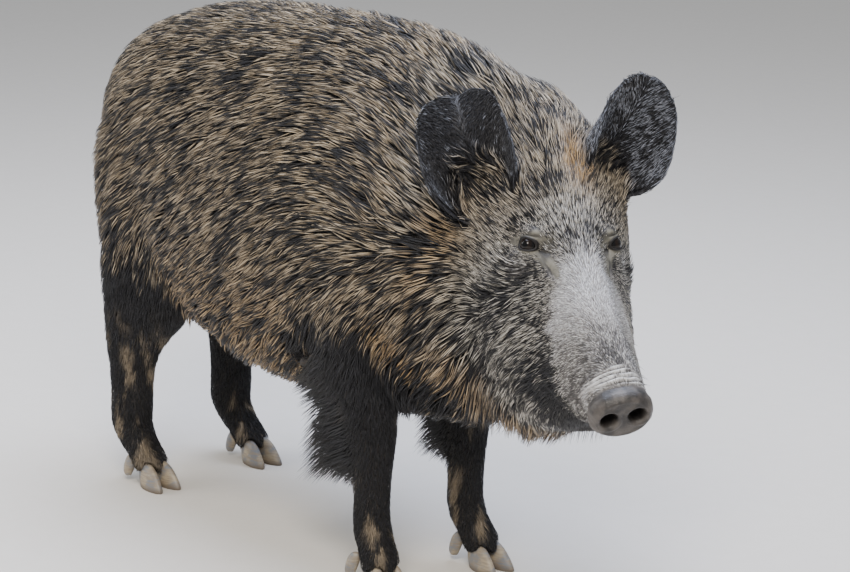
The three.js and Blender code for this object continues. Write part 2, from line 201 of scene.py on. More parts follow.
def edges_of(mesh):
    """The two vertices of each of a mesh's edges."""
    values = np.empty(len(mesh.edges) * 2, np.int32)
    mesh.edges.foreach_get("vertices", values)
    return values.reshape(-1, 2)


def neighbour_mean(values, edges):
    """The mean of each vertex's neighbours."""
    count = len(values)
    share = np.bincount(edges.ravel(), minlength=count).astype(float)
    made = np.empty_like(values)
    for k in range(values.shape[1]):
        column = values[:, k]
        made[:, k] = (np.bincount(edges[:, 0], column[edges[:, 1]], count)
                      + np.bincount(edges[:, 1], column[edges[:, 0]], count))
    return made / np.maximum(share, 1)[:, None]


def relax(values, edges, amount, rounds):
    """Evens values out over the surface, the more the larger amount is (0 to 1)."""
    for _ in range(rounds):
        values = values + amount * (neighbour_mean(values, edges) - values)
    return values


def even(points, edges, amount, rounds):
    """Smooths a surface without shrinking it: each smoothing step is followed by one back."""
    for _ in range(rounds):
        points = points + 0.62 * amount * (neighbour_mean(points, edges) - points)
        points = points - 0.64 * amount * (neighbour_mean(points, edges) - points)
    return points


def put_attribute(mesh, name, values, kind="FLOAT_COLOR"):
    """Stores a value for each vertex, for the materials to read."""
    layer = mesh.attributes.new(name, kind, "POINT")
    key = {"FLOAT_COLOR": "color", "FLOAT_VECTOR": "vector", "FLOAT": "value"}[kind]
    layer.data.foreach_set(key, np.ascontiguousarray(values, np.float32).ravel())


# ---- the legs inside their long hair ---------------------------------------------------------
# Behind each forearm the solid is hair only: heights, depth of flesh behind the bone's line, hair.
FOREARM_AT, FOREARM_FLESH, FOREARM_HAIR = np.array([
    [136, 27, 2], [165, 29, 50], [196, 34, 98], [240, 46, 92], [300, 72, 62], [360, 96, 30],
    [420, 104, 8], [490, 106, 0],
]).T
FORELEGS = {  # x at the hoof, up the shank and at the shoulder (mm), and how much fringe it has
    "foreleg_left": {"foot": 143, "shank": 97, "top": 64, "fringe": 0.7},
    "foreleg_right": {"foot": 125, "shank": 89, "top": 64, "fringe": 1.15},
}


def leg_line(leg, height):
    """x of the middle of a foreleg at each height, in mm."""
    leg = FORELEGS[leg]
    low = leg["foot"] + (leg["shank"] - leg["foot"]) * step(10, 94, height)
    return low + (leg["top"] - low) * step(215, 480, height)


def bare_forearm(piece, leg):
    """Takes the fringe's volume off the solid, so that the flesh under it is left."""
    points = vertices_of(piece.data) / MM
    line = leg_line(leg, points[:, 2]) + 3
    flesh = np.interp(points[:, 2], FOREARM_AT, FOREARM_FLESH)
    hair = np.interp(points[:, 2], FOREARM_AT, FOREARM_HAIR) * FORELEGS[leg]["fringe"]
    shorter = line - (line - points[:, 0]) * flesh / (flesh + hair)
    moved = (points[:, 0] < line) * step(325, 255, points[:, 2])
    points[:, 0] = points[:, 0] + (shorter - points[:, 0]) * moved
    move_to(piece.data, points * MM)


# ---- one skin for all the flesh ----------------------------------------------------------------
copies = []
for node in FLESH + ["eye_left", "eye_right"]:  # with the eyes in, the sockets are closed over
    piece = copy_of(node)
    if node in FORELEGS:
        bare_forearm(piece, node)
    copies.append(piece)
sizes = [len(piece.data.polygons) for piece in copies]
owner = np.repeat([*range(len(FLESH)), FLESH.index("head"), FLESH.index("head")], sizes)
solids = BVHTree.FromPolygons(
    [tuple(v.co) for piece in copies for v in piece.data.vertices],
    [tuple(k + start for k in face.vertices)
     for piece, start in zip(copies, np.cumsum([0] + [len(p.data.vertices) for p in copies]))
     for face in piece.data.polygons])
for piece in copies:
    select_only(piece)
    bpy.ops.object.mode_set(mode="EDIT")
    bpy.ops.mesh.select_all(action="SELECT")
    bpy.ops.transform.shrink_fatten(value=CUT_CLOSER * MM)
    bpy.ops.object.mode_set(mode="OBJECT")
select_only(*copies)
bpy.ops.object.join()
skin = bpy.context.view_layer.objects.active
skin.name = skin.data.name = "skin"
apply_modifier(skin, "REMESH", mode="VOXEL", voxel_size=SKIN_GRID * MM, use_smooth_shade=True)


def owners(points):
    """The number, in FLESH, of the solid that each point is nearest to."""
    return np.array([owner[solids.find_nearest(p)[2]] for p in points.tolist()])


points = vertices_of(skin.data)
edges = edges_of(skin.data)
nearest = owners(points)
part = {name: (nearest == k).astype(float) for k, name in enumerate(FLESH)}


def regions(points, part):
    """How far each point belongs to each region of the animal, from 0 to 1."""
    z = points[:, 2] / MM
    r = {
        "ears": part["ear_left"] + part["ear_right"],
        "disc": part["snout_disc"],
        "tail": part["tail"],
        "head": part["head"] + part["lower_jaw"],
        "neck": part["neck"],
        "trunk": part["trunk"],
        "fore": part["foreleg_left"] + part["foreleg_right"],
        "hind": part["hindleg_left"] + part["hindleg_right"],
    }
    r["low_fore"] = r["fore"] * step(300, 170, z)
    r["low_hind"] = r["hind"] * step(330, 215, z)
    return r


def pale_edge(u):
    """Height w of the edge between the short pale hair of the nose and the long cheek hair."""
    return np.interp(u, [190, 230, 270, 310, 361, 440, 470], [-18, -38, -56, -70, -76, -86, -92])


def coat_depth(points, normals, part):
    """Depth of the coat over the skin, in mm."""
    r = regions(points, part)
    u, _, w = (to_head(points) / MM).T
    z = points[:, 2] / MM
    down = step(0.1, -0.8, normals[:, 2])
    trunk = 17 + 12 * down * step(400, 280, z)
    neck = 19 + 14 * step(420, 300, z) + 2 * step(0.3, 0.9, normals[:, 2])
    crown = 15 - 9 * step(40, 190, u)
    edge = pale_edge(u)
    cheek = 6 + 6 * step(edge - 5, edge - 60, w) + 9 * step(-170, -250, w)
    cheek = cheek * (1 - 0.45 * step(340, 420, u)) - 2 * step(420, 450, u)
    bridge = 1.6 + 3.4 * step(300, 200, u)
    head = np.where(u > 190, bridge + (cheek - bridge) * step(edge + 6, edge - 16, w),
                    np.maximum(crown, cheek * step(-60, -150, w)))
    fore = 4 + 11 * step(200, 420, z)
    hind = 4 + 4 * step(190, 260, z) + 9 * step(280, 420, z)
    return (head * r["head"] + neck * r["neck"] + trunk * r["trunk"] + fore * r["fore"]
            + hind * r["hind"] + 2.6 * r["ears"] + 7 * r["tail"] + 0.2 * r["disc"])


def eye_distance(head_points):
    """Distance from the nearer eye, in mm."""
    return np.minimum(*(np.linalg.norm(head_points - np.array(at), axis=1)
                        for at in EYE_AT.values())) / MM


r = regions(points, part)
u = (to_head(points) / MM)[:, 0]
firm = np.clip(0.05 * r["disc"] + 0.12 * r["ears"] + 0.35 * r["low_fore"] + 0.35 * r["low_hind"]
               + 0.4 * r["tail"] + 0.9 * (r["fore"] - r["low_fore"])
               + 0.9 * (r["hind"] - r["low_hind"]) + r["trunk"] + r["neck"]
               + r["head"] * (1 - 0.65 * step(300, 400, u)), 0, 1)
firm = relax(firm[:, None], edges, 0.8, 6)
points = even(points, edges, firm, 70)
points = relax(points, edges, 0.5 * firm, 12)
body_parts = np.stack([part[name] for name in FLESH if name not in ("snout_disc", "tail")], axis=1)
seam = relax(body_parts, edges, 0.8, 14)
seam = (seam > 0.04).sum(axis=1, keepdims=True) > 1.5  # where two parts of the body meet
seam = relax(seam.astype(float), edges, 0.8, 6) * firm * (u < 330)[:, None]
points = relax(points, edges, 0.6 * seam, 60)
collar = relax(np.stack([part["neck"], part["trunk"]], 1), edges, 0.8, 60).min(axis=1, keepdims=True)
points = relax(points, edges, step(0.02, 0.2, collar) * firm, 110)  # the shoulder's lip
move_to(skin.data, points)
normals = vertices_of(skin.data, "normal")
depth = coat_depth(points, normals, part)
depth *= step(16, 34, eye_distance(to_head(points)))
walls = BVHTree.FromObject(skin, bpy.context.evaluated_depsgraph_get())
inside = points - 0.5 * MM * normals
through = [walls.ray_cast(p, n)[3] or 1 for p, n in zip(inside.tolist(), (-normals).tolist())]
depth = np.minimum(depth, 0.3 * np.array(through) / MM)  # thin webs keep some flesh
depth = relax(depth[:, None], edges, 0.8, 30)
for _ in range(SKIN_STEPS):
    points = points - vertices_of(skin.data, "normal") * depth * MM / SKIN_STEPS
    points = relax(points, edges, 0.5 * firm, 3)
    move_to(skin.data, points)
    turned = dot(vertices_of(skin.data, "normal"), normals) < 0.25  # a thin fold, turned inside out
    turned = step(0, 0.1, relax(turned.astype(float)[:, None], edges, 0.8, 8))
    points = relax(points, edges, 0.9 * turned * firm, 24)
    move_to(skin.data, points)

# Large, plain parts of the skin need fewer faces than the head.
hp = to_head(points) / MM
keep = (r["head"] > 0.5) & (hp[:, 0] > 150) | (r["ears"] > 0.5) | (r["disc"] > 0.5)


def select_faces(piece, chosen):
    """Selects the faces whose vertices are all chosen."""
    select_only(piece)
    mesh = piece.data
    bpy.ops.object.mode_set(mode="EDIT")
    bpy.ops.mesh.select_mode(type="FACE")
    bpy.ops.mesh.select_all(action="DESELECT")
    bpy.ops.object.mode_set(mode="OBJECT")
    total = len(mesh.polygons)
    starts = np.empty(total, np.int32)
    mesh.polygons.foreach_get("loop_start", starts)
    corners = np.empty(len(mesh.loops), np.int32)
    mesh.loops.foreach_get("vertex_index", corners)
    inside = np.minimum.reduceat(chosen[corners].astype(np.int8), starts).astype(bool)
    mesh.polygons.foreach_set("select", inside)
    bpy.ops.object.mode_set(mode="EDIT")


select_faces(skin, ~keep)
bpy.ops.mesh.decimate(ratio=0.1)
bpy.ops.object.mode_set(mode="OBJECT")
for reach, muzzle in ((44, 404), (25, 900)):
    hp = to_head(vertices_of(skin.data))
    chosen = (eye_distance(hp) < reach) | (hp[:, 0] / MM > muzzle)
    select_faces(skin, chosen)
    bpy.ops.mesh.subdivide(number_cuts=1, smoothness=0.6)
    bpy.ops.object.mode_set(mode="OBJECT")
apply_modifier(skin, "TRIANGULATE")

# ---- folds and lids of the face ------------------------------------------------------------------
GAZE = {"left": unit(np.array([0.35, 0.75, 0.56])), "right": unit(np.array([0.35, -0.75, 0.56]))}
EYE_LINE = {"left": np.array([0.66, -0.63, 0.42]), "right": np.array([0.66, 0.63, 0.42])}
EYE_SINK = 3.2  # mm that the eyeball lies back from the face
LID = {"wide": 74, "upper": 36, "lower": 31}  # half angles of the opening, in degrees


def eye_centre(side):
    """The middle of the eyeball, in mm in the head's frame."""
    return np.array(EYE_AT[side]) / MM - GAZE[side] * EYE_SINK


def eye_angles(hp, side):
    """Angles forwards and upwards from the gaze, distance from the eye, and the lid measure."""
    gaze = GAZE[side]
    ahead = unit(EYE_LINE[side] - gaze * dot(EYE_LINE[side], gaze))
    up = np.cross(gaze, ahead)
    up = up * np.sign(up[2])
    d = hp - eye_centre(side)
    far = np.linalg.norm(d, axis=1)
    a = np.degrees(np.arctan2(dot(d, ahead), dot(d, gaze)))
    b = np.degrees(np.arcsin(np.clip(dot(d, up) / np.maximum(far, 1e-6), -1, 1)))
    tall = np.where(b > 0, LID["upper"], LID["lower"])
    lid = np.sqrt((a / LID["wide"]) ** 2 + (b / tall) ** 2)
    return a, b, far, lid


def line_distance(p, a, b):
    """Distance of 2-D points from a segment, and how far along it they lie."""
    a, b = np.array(a, float), np.array(b, float)
    t = np.clip(((p - a) @ (b - a)) / ((b - a) @ (b - a)), 0, 1)
    return np.linalg.norm(p - (a + t[:, None] * (b - a)), axis=1), t


def crease_distance(hp, hn, line):
    """Distance from a line on the face, measured along the surface, and how far along it."""
    a, b = line
    t = np.clip(((hp - a) @ (b - a)) / ((b - a) @ (b - a)), 0, 1)
    away = hp - (a + t[:, None] * (b - a))
    out = dot(away, hn)
    return np.linalg.norm(away - hn * out[:, None], axis=1) + 3 * np.maximum(np.abs(out) - 9, 0), t


def mirrored(side, *places):
    """Places given for the right side, on the side asked for."""
    return [np.array(place) * ([1, 1, 1] if side == "right" else [1, -1, 1]) for place in places]


def tear_line(side):
    """The crease that runs from the inner corner of the eye down the nose."""
    return mirrored(side, (197, -47, -37), (240, -38, -42))


def lid_fold(side):
    """The bare fold over the eye, running on between the crease and the bridge of the nose."""
    return mirrored(side, (184, -52, -25), (246, -33, -35))


def wrinkled(front, across, high):
    """The dry, wrinkled band over the nose, 1 inside it."""
    return step(-34, -26, front + 3 * np.sin(across / 6)) * step(2, -3, front) * step(-6, 10, high)


def nose_ridges(hp, front, across):
    """-1 in the grooves and 1 on the ridges of the wrinkled band."""
    return np.sin((front + 0.008 * across ** 2 + 1.2 * wave(hp, 30, 61)) * 2 * math.pi / 7.5)


def shape_eye(hp, normals, side):
    """Lids round the opening, the folds over and under them, and the tear crease."""
    far = eye_angles(hp, side)[2]
    raised = 4.2 * np.exp(-((far - 8) / 24) ** 2)  # the rim of the socket
    hp = hp + normals * raised[:, None]
    a, b, far, lid = eye_angles(hp, side)
    near = far < 48
    ball = EYE_RADIUS / MM
    wanted = np.where(lid < 1, ball - 3.5 * step(1.0, 0.88, lid), ball + 2.2)
    pull = step(1.75, 1.15, lid) * near
    rim = 0.8 * np.exp(-((lid - 1.1) / 0.12) ** 2)
    upper = b > 0
    crease = -3.0 * np.exp(-((lid - 1.56) / 0.12) ** 2) * upper * step(95, 65, np.abs(a))
    brow = 3.4 * np.exp(-((lid - 2.1) / 0.36) ** 2) * upper * step(110, 60, np.abs(a))
    bag = -1.6 * np.exp(-((lid - 1.45) / 0.13) ** 2) * ~upper * step(85, 55, np.abs(a))
    bag = bag - 1.2 * np.exp(-((lid - 2.0) / 0.15) ** 2) * ~upper * step(85, 55, np.abs(a))
    reach = far + (wanted + rim - far) * pull
    reach = reach + (crease + brow + bag) * near
    centre = eye_centre(side)
    scaled = centre + (hp - centre) * (reach / np.maximum(far, 1e-6))[:, None]
    hp = np.where(near[:, None], scaled, hp)
    gap, t = crease_distance(hp, normals, tear_line(side))
    hp = hp - normals * (3.0 * np.exp(-(gap / 2.3) ** 2) * (1 - 0.6 * t))[:, None]
    gap, t = crease_distance(hp, normals, lid_fold(side))
    hp = hp + normals * (1.6 * np.exp(-(gap / 6.0) ** 2) * (1 - 0.5 * t))[:, None]
    return hp


def sculpt_face(hp, normals):
    """Moves points of the face (head frame, mm) into lids, creases, wrinkles and lips."""
    for side in ("left", "right"):
        hp = shape_eye(hp, normals, side)
    # dried, curved wrinkles over the nose, just behind the disc
    front, across, high = disc_place(hp)
    ridge = nose_ridges(hp, front, across)
    hp = hp + normals * (1.7 * ridge * wrinkled(front, across, high))[:, None]
    # nostrils and the rim of the disc
    on_face = front > 12
    hole = nostril_place(across, high)
    ring = np.hypot(across / SNOUT["half"][0], high / SNOUT["half"][1])
    dent = NOSTRIL["deep"] * step(1.05, 0.62, hole) - 1.5 * np.exp(-((hole - 1.3) / 0.18) ** 2)
    dent = dent - 1.2 * np.exp(-((ring - 0.86) / 0.07) ** 2) + 1.4 * np.exp(-(ring / 0.25) ** 2)
    facing = np.array([math.cos(SNOUT["tilt"]), 0, -math.sin(SNOUT["tilt"])])
    hp = hp - (dent * on_face)[:, None] * facing
    u, v = hp.T[:2]
    # the mouth line and the lips either side of it
    for start, end in (((470, -76), (446, -80)), ((446, -80), (396, -98)), ((396, -98), (336, -117))):
        gap = line_distance(hp[:, [0, 2]], start, end)[0]
        side_on = step(4, 16, np.abs(v))
        lips = 1.8 * np.exp(-((gap - 7) / 4) ** 2) - 3.8 * np.exp(-(gap / 2.4) ** 2)
        hp = hp + normals * (lips * side_on * step(330, 350, u))[:, None]
    return hp


mesh = skin.data
points = vertices_of(mesh)
hp = to_head(points) / MM
hn = vertices_of(mesh, "normal") @ TURN
move_to(mesh, from_head(sculpt_face(hp, hn) * MM))
select_only(skin)
bpy.ops.object.shade_smooth()
bpy.ops.object.mode_set(mode="EDIT")
bpy.ops.mesh.select_all(action="SELECT")
bpy.ops.uv.smart_project(angle_limit=math.radians(60), island_margin=0.002)
bpy.ops.object.mode_set(mode="OBJECT")
mesh.uv_layers[0].name = "OFBake"

# Which region each point of the finished skin belongs to.
points = vertices_of(mesh)
edges = edges_of(mesh)
normals = vertices_of(mesh, "normal")
nearest = owners(points)
weights = np.stack([(nearest == k).astype(float) for k in range(len(FLESH))], axis=1)
weights = relax(weights, edges, 0.8, 4)
part = {name: weights[:, k] for k, name in enumerate(FLESH)}
depth = coat_depth(points, normals, part)
hp = to_head(points) / MM
hn = normals @ TURN
fold_gap = np.min([crease_distance(hp, hn, lid_fold(side))[0] for side in ("left", "right")], axis=0)
depth *= step(17, 36, eye_distance(hp * MM)) * (0.25 + 0.75 * step(9, 30, fold_gap))


# ---- which way the ears run and open -------------------------------------------------------------
# Root in mm, up to the tip and open in front, bent forwards by fold degrees; dark behind, in front.
EARS = {
    "left": {"root": (40, 70, -38), "up": (-0.14, 0.34, 0.9), "open": (0.75, 0.2, 0.55), "fold": 16,
             "dark": (0.55, 0.35)},
    # The right ear's front is darker than its back, the other way from the left ear: painted shade
    # under its fold.
    "right": {"root": (62, -88, -70), "up": (-0.47, -0.36, 0.82), "open": (0.75, -0.34, 0.5),
              "fold": 66, "dark": (0.35, 0.65)},
}


def ear_frame(hp, side):
    """Heading to the tip, the way the scoop opens, and the way across, at each point (head frame)."""
    ear = EARS[side]
    axis = unit(np.array(ear["up"]))
    across = unit(np.cross(np.array(ear["open"]), axis))
    front = np.cross(axis, across)
    along = np.arange(0, 153, 8.0)
    bend = np.radians(ear["fold"]) * np.clip((along - 72) / 80, 0, 1)
    headings = axis * np.cos(bend)[:, None] + front * np.sin(bend)[:, None]
    facings = front * np.cos(bend)[:, None] - axis * np.sin(bend)[:, None]
    spine = np.array(ear["root"]) + np.cumsum(headings, axis=0) * 8.0
    nearest = np.argmin(np.linalg.norm(hp[:, None] - spine[None], axis=2), axis=1)
    offset = dot(hp - spine[nearest], across)
    return headings[nearest], facings[nearest], across[None] * np.sign(offset)[:, None], along[nearest]


def ear_marks(hp, hn, part):
    """How dark the ears are, behind, in front and with painted shade in the hollow at the root, and
    where their tips are bluish grey, partly painted sheen.
    """
    dark, slate_and_sheen = np.zeros(len(hp)), np.zeros(len(hp))
    for side in ("left", "right"):
        ear = EARS[side]
        _, facing, _, along = ear_frame(hp, side)
        inside = step(-0.1, 0.4, dot(hn, facing)) * (1 - 0.75 * step(100, 130, along))
        behind, front = ear["dark"]
        dark = dark + part["ear_" + side] * (behind + (front - behind) * inside)
        # The ears' bluish grey tips: partly the hair's own tint, partly painted sheen.
        slate_and_sheen = slate_and_sheen + part["ear_" + side]
        # Painted shade: the hollow at the root of each ear is darkened.
        hollow = np.array(ear["root"]) + np.array(ear["up"]) * 22 + np.array(ear["open"]) * 6
        hollow = blob(hp * MM, hollow, (36, 36, 36))
        dark = np.maximum(dark, 0.9 * hollow * step(-0.2, 0.3, dot(hn, facing)))
    return dark, slate_and_sheen


# ---- markings, the same for skin and coat --------------------------------------------------------
def markings(points, normals, part):
    """dark, grey, ochre and pale amounts at each point, and the ears' bluish grey with its painted
    sheen, from 0 to 1.
    """
    r = regions(points, part)
    hp = to_head(points) / MM
    hn = normals @ TURN
    u, v, w = hp.T
    x, y, z = (points / MM).T
    head = r["head"] + r["disc"]
    edge = pale_edge(u)
    grey = head * step(100, 210, u) + 0.3 * r["neck"] + 0.15 * head
    soft = 26 * step(330, 260, u)  # the edge is vague on the bridge and sharp on the muzzle
    pale = head * step(200, 250, u) * step(edge - 5, edge + 6 + soft, w + 7 * wave(hp, 28, 71))
    pale = pale * (1 - 0.62 * step(305, 370, u))
    pale = pale * (1 - 0.7 * blob(hp * MM, (415, -6, -12), (30, 11, 30)))
    for side in (-1, 1):
        pale = pale + 0.45 * head * blob(hp * MM, (206, 66 * side, -58), (15, 12, 11))
    cheek = head * step(150, 220, u) * step(edge, edge - 14, w)
    # At the corner of the mouth the cheek is darker still: partly dark hair, partly painted shade in
    # the fold of the mouth's corner.
    cheek = cheek * (0.2 + 0.5 * step(310, 360, u) * step(edge - 75, edge - 35, w))
    temple = 0.3 * head * step(150, 200, u) * step(-30, -70, w) * step(290, 240, u)
    jaw = part["lower_jaw"] * step(300, 360, u) * 0.28
    legs = r["fore"] * step(470, 340, z) + r["hind"] * step(400, 280, z)
    ham = 0.36 * r["hind"] * step(600, 430, z)
    chest = (r["trunk"] + r["neck"]) * step(400, 300, z) * step(-20, 70, x) * 0.6
    ears, slate_and_sheen = ear_marks(hp, hn, part)
    muzzle = 0.3 * head * step(330, 380, u) * step(edge, edge + 10, w)
    dark = np.maximum(cheek, temple) + muzzle + jaw + legs + ham + chest + ears + 0.5 * r["tail"]
    dark = np.clip(dark, 0, 1)
    flank = r["trunk"] * step(500, 340, z) * step(60, -60, x)
    ochre = 0.5 * flank * (1 - 0.5 * step(-300, -460, x)) + 0.16 * r["trunk"]
    patch = np.exp(-((u - 92) / 38) ** 2 - ((v - 18) / (4 + 0.11 * np.clip(u, 0, 130))) ** 2)
    patch = np.clip(1.6 * patch, 0, 1) * head * step(-30, -10, w)
    ochre = ochre + patch
    pale = np.maximum(pale, 0.75 * patch)
    ruff = line_distance(hp[:, [0, 2]], (98, -95), (138, -290))[0]
    ochre = ochre + 0.7 * np.exp(-(ruff / 17) ** 2) * (np.abs(v) > 60) * (r["head"] + r["neck"])
    lower = line_distance(points[:, [0, 2]] / MM, (160, 405), (228, 335))[0]
    ochre = ochre + 0.8 * np.exp(-(lower / 24) ** 2) * (np.abs(y) > 60) * (1 - r["fore"])
    under = 0.7 * (head + r["neck"]) * step(0.1, -0.6, normals[:, 2]) * step(-215, -250, w)
    dark = dark * (1 - 0.6 * np.clip(under, 0, 1)) * (1 - 0.8 * patch)
    made = np.clip(np.stack([dark, grey, ochre + under, pale], axis=1), 0, 1)
    return made, np.clip(slate_and_sheen, 0, 1)


def mud_splash(points, part):
    """Dried mud on the shanks and feet."""
    r = regions(points, part)
    z = points[:, 2] / MM
    spots = wave(points * np.array([1, 1, 0.55]), 0.042, 31) + 0.6 * wave(points, 0.016, 32)
    amount = step(0.75, 1.1, spots + 0.35 * part["hindleg_right"])
    return amount * (r["low_fore"] + r["low_hind"]) * step(20, 60, z) * 0.85


marks, slate_and_sheen = markings(points, normals, part)
put_attribute(mesh, "mark", marks)
# The ears' bluish grey amount, partly the hair's tint and partly painted sheen.
put_attribute(mesh, "slate_and_sheen", slate_and_sheen, "FLOAT")
hp = to_head(points) / MM
bare = np.zeros((len(points), 4))
front, across, high = disc_place(hp)
bare[:, 0] = part["snout_disc"]
bare[:, 2] = wrinkled(front, across, high) * part["head"] * step(-0.75, 0.1, wave(hp, 24, 62) + 0.35)
# Painted shade: the nostrils, the grooves between the wrinkles, the tear crease and the crease over
# the upper lid are darkened as if in shadow; at the lid margin the dark is partly the skin's own and
# partly painted shade.
crevice_shade = step(1.0, 0.72, nostril_place(across, high)) * (front > 2)
ridge = nose_ridges(hp, front, across)
crevice_shade = np.maximum(crevice_shade, 0.8 * bare[:, 2] * step(-0.35, -0.85, ridge))
for side in ("left", "right"):
    a, b, far, lid = eye_angles(hp, side)
    fold = step(9, 5, crease_distance(hp, hn, lid_fold(side))[0])
    bare[:, 1] = np.maximum(bare[:, 1], np.maximum(fold, step(1.9, 1.5, lid) * (far < 40)))
    crevice_shade = np.maximum(crevice_shade, step(1.3, 1.16, lid) * (far < 30))
    gap, t = crease_distance(hp, hn, tear_line(side))
    crevice_shade = np.maximum(crevice_shade, step(3.4, 1.4, gap) * (1 - 0.4 * t))
    line = np.exp(-((lid - 1.56) / 0.09) ** 2) * (b > 0) * step(95, 65, np.abs(a)) * (far < 40)
    crevice_shade = np.maximum(crevice_shade, 0.75 * line)
bare[:, 3] = mud_splash(points, part)
put_attribute(mesh, "bare", bare)
put_attribute(mesh, "crevice_shade", crevice_shade, "FLOAT")
put_attribute(mesh, "face_place", to_head(points), "FLOAT_VECTOR")

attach(skin, "root")
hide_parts(*FLESH)


# ---- the lie of the coat -------------------------------------------------------------------------
def swept(ahead, normals, side, angle):
    """Along the surface: backwards from ahead, turned outwards and down its side by the angle."""
    back = unit(normals * dot(ahead, normals)[:, None] - ahead)
    down = unit(np.cross(ahead, normals)) * side[:, None]
    angle = np.radians(angle)
    return back * np.cos(angle)[:, None] + down * np.sin(angle)[:, None]


def lie(points, normals, part):
    """The way that hair points at each place, along the surface."""
    r = regions(points, part)
    u, v, w = (to_head(points) / MM).T
    x, y, z = (points / MM).T
    top = step(670, 745, z)
    fall = (38 + 12 * step(-380, -500, x)) * (1 - 0.5 * top)
    fall = fall - 64 * step(-130, 200, x) * step(465, 560, z) * (1 - 0.5 * top)
    fall = fall + 9 * wave(points, 0.11, 41)
    body = swept(np.array([[1.0, 0, 0]]), normals, -np.tanh(y / 25), fall)
    deep = u + 0.5 * np.maximum(0, -w - 120)
    fall = step(5, 40, np.abs(v)) * (16 + 58 * step(180, 235, deep)) + 5 * wave(points, 0.05, 42)
    head = swept(TURN[:, 0][None], normals, -np.tanh(v / 8), fall)
    behind = step(0.2, -0.7, normals[:, 0])
    fringe = step(130, 170, z) * step(430, 300, z) * behind
    fore = np.stack([-0.2 - 0.95 * fringe, 0 * x, -1 + 0.3 * fringe], 1)
    hind = np.stack([-0.15 - 0.3 * step(420, 560, z), 0 * x, -1 + 0 * x], 1)
    ears = np.zeros((len(points), 3))
    for side in ("left", "right"):
        heading, _, across, _ = ear_frame(to_head(points) / MM, side)
        ears = ears + (heading * 0.8 + across * 0.5) @ TURN.T * part["ear_" + side][:, None]
    tail = np.stack([-0.1 + 0 * x, 0 * x, -1 + 0 * x], 1)
    made = (body * (r["trunk"] + r["neck"])[:, None] + head * (r["head"] + r["disc"])[:, None]
            + unit(fore) * r["fore"][:, None] + unit(hind) * r["hind"][:, None]
            + unit(ears) * r["ears"][:, None] + unit(tail) * r["tail"][:, None])
    made = made - normals * dot(made, normals)[:, None]
    return unit(made)


flow = unit(relax(lie(points, normals, part), edges, 0.6, 8))
corner = np.empty(len(mesh.loops), np.int32)
mesh.loops.foreach_get("vertex_index", corner)
faces = corner.reshape(-1, 3)
uv = np.empty(len(mesh.loops) * 2, np.float32)
mesh.uv_layers["OFBake"].data.foreach_get("uv", uv)
uv = uv.reshape(-1, 3, 2)
tree = KDTree(len(points))
for k, p in enumerate(points.tolist()):
    tree.insert(p, k)
tree.balance()

# ---- where locks grow ----------------------------------------------------------------------------
r = regions(points, part)
hp = to_head(points) / MM
length = LOCK_LENGTH[0] + LOCK_LENGTH[1] * depth  # mm
width = (LOCK_WIDTH[0] + LOCK_WIDTH[1] * depth) * (1 - 0.22 * r["head"])
cover = COVER * np.ones(len(points))
thin_edge = np.linalg.norm(relax(normals, edges, 0.8, 26), axis=1)
rim = step(0.72, 0.4, thin_edge) * r["ears"]
length = length * (1 + 0.2 * r["ears"] + 1.2 * rim)
cover = cover * (1 - 0.45 * (r["low_fore"] + r["low_hind"])) * (1 - 0.3 * r["ears"])
cover = cover * (1 - 0.55 * r["head"] * step(270, 350, hp[:, 0]) * step(-120, -100, hp[:, 2]))
cover = cover * (1 - r["disc"]) * (1 - bare[:, 2] * 0.85)
for side in ("left", "right"):
    a, b, far, lid = eye_angles(hp, side)
    bald = (a > 0) | ((b > 8) & (a > -40))
    clear = np.where(bald, step(1.4, 1.75, lid), step(1.15, 1.35, lid))
    cover = cover * np.where(far < 42, clear, 1)
    cover = cover * step(3, 6, crease_distance(hp, hn, tear_line(side))[0])
cover = cover * step(6, 11, fold_gap)
cover = cover * (points[:, 2] > 24 * MM)
density = cover / (length * width) * 1e6  # locks for each square metre

a, b, c = (points[faces[:, k]] for k in range(3))
area = np.linalg.norm(np.cross(b - a, c - a), axis=1) / 2
wanted = np.cumsum(area * density[faces].mean(axis=1))
LOCKS = int(wanted[-1])
chosen = np.searchsorted(wanted, np.arange(LOCKS) + random.uniform(0, 1, LOCKS))
chosen = np.minimum(chosen, len(faces) - 1)
mix = random.uniform(0, 1, (LOCKS, 2))
flip = mix.sum(axis=1) > 1
mix[flip] = 1 - mix[flip]
mix = np.column_stack([1 - mix.sum(axis=1), mix])


def at_root(values):
    """Values of the skin's vertices at the root of each lock."""
    return np.einsum("nk,nk...->n...", mix, values[faces[chosen]])


root = at_root(points)
root_normal = unit(at_root(normals))
root_uv = np.einsum("nk,nkj->nj", mix, uv[chosen])
lock_depth = at_root(depth) * MM
lock_length = at_root(length) * MM * random.uniform(0.75, 1.2, LOCKS)
lock_width = at_root(width) * MM * random.uniform(0.75, 1.3, LOCKS)
lock_mark = at_root(marks)
lock_slate_and_sheen = at_root(slate_and_sheen)
lock_mud = at_root(bare[:, 3])
lock_part = at_root(weights)


def rooted_in(*nodes):
    """How far each lock's root belongs to the given nodes, from 0 to 1."""
    return lock_part[:, [FLESH.index(node) for node in nodes]].sum(axis=1)


def follow(start, way, distance, height):
    """Goes on over the surface by distance, then stands height above the skin."""
    ahead = start + way * distance[:, None]
    hit = np.array([tree.find(p)[1] for p in ahead.tolist()])
    off = dot(ahead - points[hit], normals[hit])
    return ahead + normals[hit] * (height - off)[:, None], hit


heading = unit(at_root(flow) + 0.17 * random.normal(size=(LOCKS, 3)))
lift = lock_depth * random.uniform(0.65, 1.12, LOCKS)
third = lock_length / 3
first, hit = follow(root, heading, third, lift * 0.48)
heading = unit(0.6 * heading + 0.7 * flow[hit])
second, hit = follow(first, heading, third, lift * 0.82)
heading = unit(0.6 * heading + 0.7 * flow[hit])
tip, hit = follow(second, heading, third, lift)

